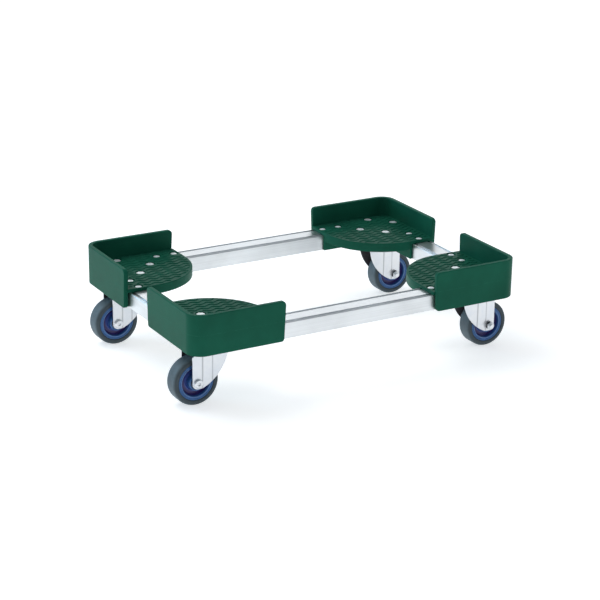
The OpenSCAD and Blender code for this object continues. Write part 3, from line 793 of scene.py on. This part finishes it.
def tread_clear(x, y, s, holes):
    """True where an anti-slip rib may run: off the edges, the walls and the sunk seats."""
    margin = 3.4 * MM
    du, dv = x - SWIVEL_IN, y - SWIVEL_IN
    reach = DECK_REACH - margin
    if x > reach or y > reach or min(x, y) < s.wall + margin:
        return False
    if du > 0 and dv > 0 and math.hypot(du, dv) > reach - SWIVEL_IN:
        return False
    turn = s.corner_radius
    if x < turn and y < turn and math.hypot(x - turn, y - turn) > turn - s.wall - margin:
        return False
    return all(math.hypot(x - hx, y - hy) > radius + margin - 0.6 * MM for hx, hy, radius, _ in holes)


def moulding_tread(bm, s, holes):
    """Raised wavy ribs across the deck, each one swept from a small trapezium."""
    step = s.tread_wave / 14
    half, crest = s.tread_width / 2, s.tread_width * 0.24
    low, high = DECK_TOP - 0.3 * MM, DECK_TOP + s.tread_height
    rows = int(DECK_REACH / s.tread_pitch)
    for row in range(1, rows + 1):
        middle = s.wall + (row - 0.35) * s.tread_pitch
        path = []
        for i in range(int(DECK_REACH / step) + 1):
            x = i * step
            y = middle + s.tread_swing * math.sin(2 * math.pi * x / s.tread_wave)
            if tread_clear(x, y, s, holes):
                path.append((x, y))
                continue
            sweep_rib(bm, path, half, crest, low, high)
            path = []
        sweep_rib(bm, path, half, crest, low, high)


def sweep_rib(bm, path, half, crest, low, high):
    """One raised rib along the path, tapering out at both ends."""
    if len(path) < 5:
        return
    share = [0.35, 0.8] + [1.0] * (len(path) - 4) + [0.8, 0.35]
    section = [(-half, low), (-crest, high), (crest, high), (half, low)]
    verts = [bm.verts.new((path[0][0], path[0][1] + y * share[0], z)) for y, z in section]
    bm.faces.new(verts)
    ring = [bm.edges.get((verts[i], verts[(i + 1) % 4])) for i in range(4)]
    x, y, size = path[0][0], path[0][1], share[0]
    for (next_x, next_y), next_size in zip(path[1:], share[1:]):
        grow = next_size / size
        ring = extruded(bm, ring, lambda co: Vector((next_x, next_y + (co.y - y) * grow, co.z)))
        x, y, size = next_x, next_y, next_size
    bmesh.ops.edgeloop_fill(bm, edges=ring)


class DOLLY_OT_mouldings(bpy.types.Operator):
    """Build the four corner mouldings"""

    bl_idname = "dolly.mouldings"
    bl_label = "Corner mouldings"

    def execute(self, context):
        s, metal = context.scene.dolly_moulding, context.scene.dolly_metal
        finish = moulded_paint(s.colour)
        holes = deck_holes(metal)
        for place, sides in PLACES.items():
            bm = bmesh.new()
            moulding_deck(bm, s, metal)
            moulding_walls(bm, s)
            moulding_skirt(bm, s)
            moulding_boss(bm, metal)
            moulding_socket(bm, s, metal)
            first = set(bm.verts)
            moulding_socket(bm, s, metal)
            moved(bm, first, SWAPPED_WAYS)
            moulding_tread(bm, s, holes)
            node = f"corner_{place}"
            piece(bm, f"moulding_{place}", corner_place(*sides), finish, "frame", [node])
        return {"FINISHED"}


# ---- rails and rivets ----


def rail_shape(bm, length, metal):
    """A rail along X, centred on the origin, with a groove along each edge of its top."""
    half, top, floor = RAIL_WIDTH / 2, RAIL_TOP, RAIL_TOP - metal.groove_depth
    lip = half - metal.lip
    land = lip - metal.groove
    side = [(half, FOOT_Z), (half, top), (lip, top), (lip, floor), (land, floor), (land, top)]
    points = [(-length / 2, y, z) for y, z in side + [(-y, z) for y, z in reversed(side)]]
    radii = [0.9 * MM, 1.7 * MM, 0.3 * MM, 0.6 * MM, 0.6 * MM, 0.3 * MM]
    prism(bm, points, (length, 0, 0), dict(enumerate(radii + radii[::-1])))


class DOLLY_OT_rails(bpy.types.Operator):
    """Build the four grooved rails"""

    bl_idname = "dolly.rails"
    bl_label = "Rails"

    def execute(self, context):
        metal = context.scene.dolly_metal
        for along, nodes in (("X", ("rail_front", "rail_back")), ("Y", ("rail_left", "rail_right"))):
            finish = aluminium_paint(f"rail_aluminium_{along.lower()}", metal.aluminium, along)
            turn = Matrix.Rotation(0 if along == "X" else math.pi / 2, 4, "Z")
            for node in nodes:
                low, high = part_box(node)
                middle = (low + high) / 2
                size = high - low
                bm = bmesh.new()
                rail_shape(bm, size.x if along == "X" else size.y, metal)
                place = Matrix.Translation((middle.x, middle.y, 0)) @ turn
                piece(bm, f"extrusion_{node[5:]}", place, finish, "frame", [node])
        return {"FINISHED"}


def rivet_shape(bm, metal, place):
    """A set blind rivet: shallow dome, rolled edge and the broken pin in its middle."""
    seat = DECK_TOP - metal.dimple_depth
    head, top = metal.rivet_head, seat + 1.8 * MM
    neck, foot = head - 0.4 * MM, seat - 1 * MM
    rise = [math.radians(step) for step in (0, 14, 28, 42, 56, 68)]
    points = [(0, foot), (neck, foot), (neck, seat), (head, seat + 0.2 * MM)]
    points += [(head * math.cos(a), seat + 0.5 * MM + 1.3 * MM * math.sin(a)) for a in rise]
    pin = ((1.5, 0), (1.3, 0.2), (1.2, 0.7), (0.7, 0.5), (0, 0.4))
    points += [(reach * MM, top - drop * MM) for reach, drop in pin]
    lathe(bm, points, None, 32, place)


class DOLLY_OT_rivets(bpy.types.Operator):
    """Build the rivets that hold the rails"""

    bl_idname = "dolly.rivets"
    bl_label = "Rivets"

    def execute(self, context):
        metal = context.scene.dolly_metal
        bm = bmesh.new()
        for sides in PLACES.values():
            for reach in (metal.rivet_first, metal.rivet_first + metal.rivet_pitch):
                for x, y in ((reach, RAIL_MID), (RAIL_MID, reach)):
                    rivet_shape(bm, metal, corner_place(*sides) @ Matrix.Translation((x, y, 0)))
        finish = zinc_paint("rivet_steel", metal.bright, 0.26, 0.25)
        piece(bm, "rivets", Matrix.Identity(4), finish, "frame", ["rail_rivets"])
        return {"FINISHED"}


# ---- castors ----


class DOLLY_OT_castor_bolts(bpy.types.Operator):
    """Build the sunk bolts that hold the castors, and finish their washers and nuts"""

    bl_idname = "dolly.castor_bolts"
    bl_label = "Castor bolts"

    def execute(self, context):
        metal = context.scene.dolly_metal
        seat = DECK_TOP - metal.seat_depth
        head = seat + 5.1 * MM
        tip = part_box("castor_bolts")[0].z
        shank = [(0, tip), (3.4 * MM, tip), (4 * MM, tip + 0.6 * MM), (4 * MM, seat), (0, seat)]
        bm = bmesh.new()
        for sides in PLACES.values():
            for x, y in bolt_places(metal):
                place = corner_place(*sides) @ Matrix.Translation((x, y, 0))
                hexagon(bm, metal.bolt_flats, seat, head, place, 0.7 * MM)
                rim = ((0, -1), (5.6, -1), (5.6, 0), (5.2, 0.25), (3.9, 0.25), (3.5, -0.5), (0, -0.6))
                lathe(bm, [(reach * MM, head + rise * MM) for reach, rise in rim], None, 32, place)
                lathe(bm, shank, None, 24, place)
        finish = zinc_paint("bolt_zinc", metal.bright, 0.28, 0.45)
        piece(bm, "castor_bolt_set", Matrix.Identity(4), finish, "frame", ["castor_bolts"])
        cad_finish(["castor_washers", "castor_nuts"], finish, [None])
        return {"FINISHED"}


class DOLLY_OT_castor_heads(bpy.types.Operator):
    """Finish the castor plates, kingpins, races and seals"""

    bl_idname = "dolly.castor_heads"
    bl_label = "Castor heads"

    def execute(self, context):
        metal = context.scene.dolly_metal
        zinc = zinc_paint("castor_zinc", metal.zinc, 0.30)
        steel = plain_paint("race_steel", (0.55, 0.56, 0.58), 0.25, 1.0)
        seal = plain_paint("seal_grey", (0.05, 0.05, 0.055), 0.5)
        cad_finish(["castor_plate"], zinc)
        cad_finish(["kingpin", "race_balls"], steel)
        cad_finish(["race_seal"], seal)
        return {"FINISHED"}


def fork_sheet(bm, metal):
    """The fork's sheet: one flat blank with two legs, folded down over the wheel."""
    half = FORK_LEG + metal.sheet / 2
    bend = metal.bend - metal.sheet / 2
    flat = half - bend
    fold = bend * math.pi / 2
    crown = CROWN_TOP - metal.sheet / 2
    leg_top = crown - bend

    def blank(height):
        """Distance from the blank's middle line to a point of the leg at that height."""
        return flat + fold + (leg_top - height)

    end = metal.leg_end
    edge_x, edge_z, edge_r = TRAIL + 22 * MM, AXLE_Z + 61 * MM, 77 * MM
    curve_top, curve_foot = crown - 2 * MM, AXLE_Z - end + 0.4 * MM
    curve = []
    for i in range(13):
        height = curve_foot + (curve_top - curve_foot) * i / 12
        curve.append((edge_x - math.sqrt(edge_r ** 2 - (height - edge_z) ** 2), height))
    turns = [math.radians(-90 + 9 * i) for i in range(11)]
    tip = [(TRAIL + end * math.cos(a), AXLE_Z + end * math.sin(a)) for a in turns]
    front = [(TRAIL + end, leg_top - 3.5 * MM), (metal.crown + 1 * MM, leg_top + 5.5 * MM)]
    side = [(x, blank(z)) for x, z in [*reversed(curve), *tip, *front]]
    points = [(x, h, 0) for x, h in side] + [(x, -h, 0) for x, h in reversed(side)]
    old = set(bm.verts)
    prism(bm, points, (0, 0, metal.sheet), None, 0.5 * MM, 2)
    lines = [flat + fold * i / 8 for i in range(9)] + [flat + fold + 12 * MM, 0.0]
    for line in [side * h for h in lines for side in (-1, 1)]:
        sliced(bm, old, (0, line, 0), (0, 1, 0))
    for vert in added(bm.verts, old):
        side = 1 if vert.co.y > 0 else -1
        away, depth = abs(vert.co.y), vert.co.z - metal.sheet / 2
        angle = max(0.0, min(fold, away - flat)) / bend
        down = max(0.0, away - flat - fold)
        y = min(away, flat) + (bend + depth) * math.sin(angle)
        z = leg_top + (bend + depth) * math.cos(angle) - down
        vert.co = Vector((vert.co.x, side * y, z))


def fork_beads(bm, metal):
    """An upright bead with sloping borders, pressed out of each leg."""
    outer = FORK_LEG + metal.sheet
    low, high = AXLE_Z + 14 * MM, BEAD_TOP - BEAD_HALF
    middle, half, slope = BEAD_MIDDLE, BEAD_HALF, 2.2 * MM
    ends = [math.radians(15 * i) for i in range(13)]
    for side in (-1, 1):
        foot, crest = side * (outer - 0.4 * MM), side * (outer + 0.78 * MM)
        rings = []
        for size, y in ((half, foot), (half, side * (outer + 0.02 * MM)), (half - slope, crest)):
            points = [(middle + size * math.cos(a), y, high + size * math.sin(a)) for a in ends]
            points += [(middle - size * math.cos(a), y, low - size * math.sin(a)) for a in ends]
            rings.append([bm.verts.new(point) for point in points])
        loops = [[bm.edges.new((ring[i - 1], ring[i])) for i in range(len(ring))] for ring in rings]
        for lower, upper in zip(loops, loops[1:]):
            bmesh.ops.bridge_loops(bm, edges=lower + upper)
        bmesh.ops.edgeloop_fill(bm, edges=loops[0])
        bmesh.ops.edgeloop_fill(bm, edges=loops[-1])


class DOLLY_OT_forks(bpy.types.Operator):
    """Build the four pressed forks"""

    bl_idname = "dolly.forks"
    bl_label = "Forks"

    def execute(self, context):
        metal = context.scene.dolly_metal
        # The forks' zinc carries painted shade in the bead borders and painted shadow inside the legs.
        finish = zinc_paint("fork_zinc", metal.zinc, 0.30, 1.0, fork_painted_shade)
        for place, sides in PLACES.items():
            bm = bmesh.new()
            fork_sheet(bm, metal)
            fork_beads(bm, metal)
            top, foot = CROWN_TOP, CROWN_TOP - metal.sheet
            bore, rim = 6.05 * MM, metal.crown
            dish = [(bore, foot), (rim - 1 * MM, foot), (rim, foot + 0.8 * MM)]
            lathe(bm, [*dish, (rim, top), (rim - 0.5 * MM, top), (bore, top)], None, 64)
            node = f"fork_{place}"
            piece(bm, f"pressed_fork_{place}", castor_place(*sides), finish, f"swivel_{place}", [node])
        return {"FINISHED"}


class DOLLY_OT_axles(bpy.types.Operator):
    """Build the axle bolts and nuts, with painted shade on the nuts' flanks, and finish their sleeves"""

    bl_idname = "dolly.axles"
    bl_label = "Axles"

    def execute(self, context):
        metal = context.scene.dolly_metal
        finish = zinc_paint("axle_zinc", metal.zinc, 0.26)
        # The nut's flanks get a near-black finish of their own: painted shade, dark beside the bright end face.
        shaded_flank = plain_paint("nut_flank", (0.045, 0.047, 0.05), 0.35, 0.6)
        leg = FORK_LEG + metal.sheet
        head = (
            (0, -1), (7.5, 0), (7.5, 2.4), (6.4, 3.7), (4.6, 4), (3.1, 4), (2.8, 3.6), (2.8, 1.8), (0, 1.4),
        )
        collar = ((4.1, 4.5), (6, 4.5), (6, 6.6), (5.2, 7.4), (4.1, 7.4))
        for place, sides in PLACES.items():
            bm = bmesh.new()
            lathe(bm, [(reach * MM, -leg - rise * MM) for reach, rise in head], None, 40)
            end = leg + 9 * MM
            shank = [(0, -leg), (4 * MM, -leg), (4 * MM, end - 0.8 * MM), (3.3 * MM, end), (0, end)]
            lathe(bm, shank, None, 32)
            at = axle_place(*sides)
            body = f"swivel_{place}"
            piece(bm, f"axle_screw_{place}", at, finish, body, [f"axle_bolt_{place}"])
            bm = bmesh.new()
            hexagon(bm, metal.bolt_flats, leg, leg + 5.5 * MM, None, 0.6 * MM)
            # Side faces of the nut take the painted-shade finish; its end faces keep the zinc.
            for face in bm.faces:
                face.material_index = int(abs(face.normal.z) < 0.3)
            lathe(bm, [(reach * MM, leg + rise * MM) for reach, rise in collar], None, 40)
            nut = piece(bm, f"lock_nut_{place}", at, finish, body, [f"axle_nut_{place}"])
            nut.data.materials.append(shaded_flank)
        cad_finish(["axle_sleeve"], finish)
        return {"FINISHED"}


# ---- wheels ----


def wheel_pieces(points, steps, name, node, finish, soft):
    """The same turned piece on each of the four wheels."""
    for place, sides in PLACES.items():
        bm = bmesh.new()
        lathe(bm, points, None, steps)
        piece(bm, f"{name}_{place}", axle_place(*sides), finish, f"wheel_{place}", [f"{node}_{place}"], soft)


class DOLLY_OT_rims(bpy.types.Operator):
    """Build the blue rims"""

    bl_idname = "dolly.rims"
    bl_label = "Rims"

    def execute(self, context):
        s = context.scene.dolly_wheel
        finish = rim_paint(s.rim)
        outer, face = RIM_RADIUS, TYRE_WIDTH / 2 - 1 * MM
        inner = outer - s.ring
        web, hub = s.web / 2, HUB_LENGTH / 2
        edge = ((0, 0.6), (0.6, 0), (2.2, 0), (2.6, 0.5), (3.4, 0.5), (3.8, 0))
        half = [(outer, 0), *[(outer - inset * MM, face - drop * MM) for inset, drop in edge]]
        half += [
            (inner + 0.8 * MM, face), (inner, face - 0.8 * MM), (inner - 1.2 * MM, web + 1.6 * MM),
            (inner - 2.8 * MM, web), (s.hub + 2.2 * MM, web), (s.hub + 0.6 * MM, web + 1.4 * MM),
            (s.hub, hub - 1 * MM), (s.hub - 0.8 * MM, hub), (s.bore + 0.8 * MM, hub), (s.bore, hub - 0.7 * MM),
        ]
        points = half + [(r, -z) for r, z in reversed(half[1:])]
        wheel_pieces(points, s.segments, "blue_rim", "rim", finish, 25.0)
        return {"FINISHED"}


class DOLLY_OT_tyres(bpy.types.Operator):
    """Build the grey tyres"""

    bl_idname = "dolly.tyres"
    bl_label = "Tyres"

    def execute(self, context):
        s = context.scene.dolly_wheel
        finish = tyre_paint(s.tyre)
        seat, outer, half = RIM_RADIUS + 0.05 * MM, TYRE_RADIUS, TYRE_WIDTH / 2
        turns = [math.radians(10 * i) for i in range(10)]
        r, z = outer - s.shoulder, half - s.shoulder
        shoulder = [(r + s.shoulder * math.sin(a), z + s.shoulder * math.cos(a)) for a in turns]
        bead = ((0, 1.4), (0.5, 0.7), (1.2, 0.4), (1.5, 0.05), (2, 0))
        side = [(seat + reach * MM, half - drop * MM) for reach, drop in bead]
        crown = [(outer, half - s.shoulder - 1.2 * MM), (outer, 0.35 * MM), (outer - 0.12 * MM, 0.0)]
        top = side + shoulder + crown
        points = top + [(r, -z) for r, z in reversed(top[:-1])]
        wheel_pieces(points, s.segments, "rubber_tyre", "tyre", finish, 30.0)
        return {"FINISHED"}


class DOLLY_OT_bearings(bpy.types.Operator):
    """Finish the wheel bearings"""

    bl_idname = "dolly.bearings"
    bl_label = "Wheel bearings"

    def execute(self, context):
        finish = plain_paint("bearing_steel", (0.30, 0.31, 0.33), 0.35, 1.0)
        cad_finish(["wheel_bearings"], finish)
        return {"FINISHED"}


# ---- stage ----


def soft_light(name, place, size, power, colour=(1.0, 1.0, 1.0)):
    """A large soft lamp that faces the dolly."""
    lamp = bpy.data.lights.new(name, "AREA")
    lamp.shape = "RECTANGLE"
    lamp.size, lamp.size_y = size
    lamp.energy = power
    lamp.color = colour
    made = bpy.data.objects.new(name, lamp)
    bpy.context.scene.collection.objects.link(made)
    made.location = place
    made.rotation_euler = (LAMP_AIM - Vector(place)).to_track_quat("-Z", "Y").to_euler()
    made.visible_camera = False


class DOLLY_OT_stage(bpy.types.Operator):
    """Build the floor, the lights and the camera"""

    bl_idname = "dolly.stage"
    bl_label = "Stage"

    def execute(self, context):
        s = context.scene.dolly_stage
        bm = bmesh.new()
        bmesh.ops.create_circle(bm, cap_ends=True, segments=96, radius=FLOOR_RADIUS)
        mesh = bpy.data.meshes.new("floor")
        bm.to_mesh(mesh)
        bm.free()
        mesh.materials.append(floor_paint(s.floor, s.glow))
        floor = bpy.data.objects.new("floor", mesh)
        context.scene.collection.objects.link(floor)
        world = bpy.data.worlds.new("studio")
        world.use_nodes = True
        background = world.node_tree.nodes["Background"]
        background.inputs["Color"].default_value = (0.84, 0.92, 1.0, 1.0)
        background.inputs["Strength"].default_value = 0.34
        context.scene.world = world
        context.scene.view_settings.view_transform = "Standard"
        soft_light("key", (-0.9, 1.1, 2.6), (2.0, 2.0), 34)
        soft_light("back", (1.5, 2.9, 1.55), (3.4, 0.8), 16)
        soft_light("cool", (-1.9, 2.2, 0.8), (1.4, 1.0), 20, (0.36, 0.71, 1.0))
        soft_light("side", (2.4, -0.9, 1.2), (1.0, 1.6), 7)
        camera = bpy.data.cameras.new("camera")
        camera.lens = s.lens
        camera.sensor_width = 36.0
        camera.clip_end = 60.0
        holder = bpy.data.objects.new("camera", camera)
        context.scene.collection.objects.link(holder)
        a, e, t = s.azimuth, s.elevation, s.roll
        back = Vector((math.sin(a) * math.cos(e), -math.cos(a) * math.cos(e), math.sin(e)))
        right = Vector((math.cos(a), math.sin(a), 0))
        up = back.cross(right)
        across = right * math.cos(t) + up * math.sin(t)
        upward = up * math.cos(t) - right * math.sin(t)
        aim = Vector((0, 0, s.aim_height))
        holder.location = aim + back * s.distance + across * s.slide_right + upward * s.slide_up
        holder.rotation_euler = Matrix((across, upward, back)).transposed().to_euler()
        context.scene.camera = holder
        return {"FINISHED"}


# ---- panel and registration ----

STEPS = (
    DOLLY_OT_stage, DOLLY_OT_mouldings, DOLLY_OT_rails, DOLLY_OT_rivets, DOLLY_OT_castor_bolts,
    DOLLY_OT_castor_heads, DOLLY_OT_forks, DOLLY_OT_axles, DOLLY_OT_rims, DOLLY_OT_tyres, DOLLY_OT_bearings,
)
SETTINGS = {
    "dolly_moulding": DollyMouldingSettings,
    "dolly_metal": DollyMetalSettings,
    "dolly_wheel": DollyWheelSettings,
    "dolly_stage": DollyStageSettings,
}


class VIEW3D_PT_dolly(bpy.types.Panel):
    """Lists the dolly's settings and its building steps"""

    bl_idname = "VIEW3D_PT_dolly"
    bl_label = "Crate dolly"
    bl_space_type = "VIEW_3D"
    bl_region_type = "UI"
    bl_category = "Dolly"

    def draw(self, context):
        layout = self.layout
        for step in STEPS:
            layout.operator(step.bl_idname)
        for name, group in SETTINGS.items():
            box = layout.box()
            for setting in group.__annotations__:
                box.prop(getattr(context.scene, name), setting)


CLASSES = (*SETTINGS.values(), *STEPS, VIEW3D_PT_dolly)


def register():
    for cls in CLASSES:
        bpy.utils.register_class(cls)
    for name, group in SETTINGS.items():
        setattr(bpy.types.Scene, name, PointerProperty(type=group))


def unregister():
    for name in SETTINGS:
        delattr(bpy.types.Scene, name)
    for cls in reversed(CLASSES):
        bpy.utils.unregister_class(cls)


def main():
    register()
    for step in STEPS:
        group, name = step.bl_idname.split(".")
        getattr(getattr(bpy.ops, group), name)()


if __name__ == "__main__":
    main()
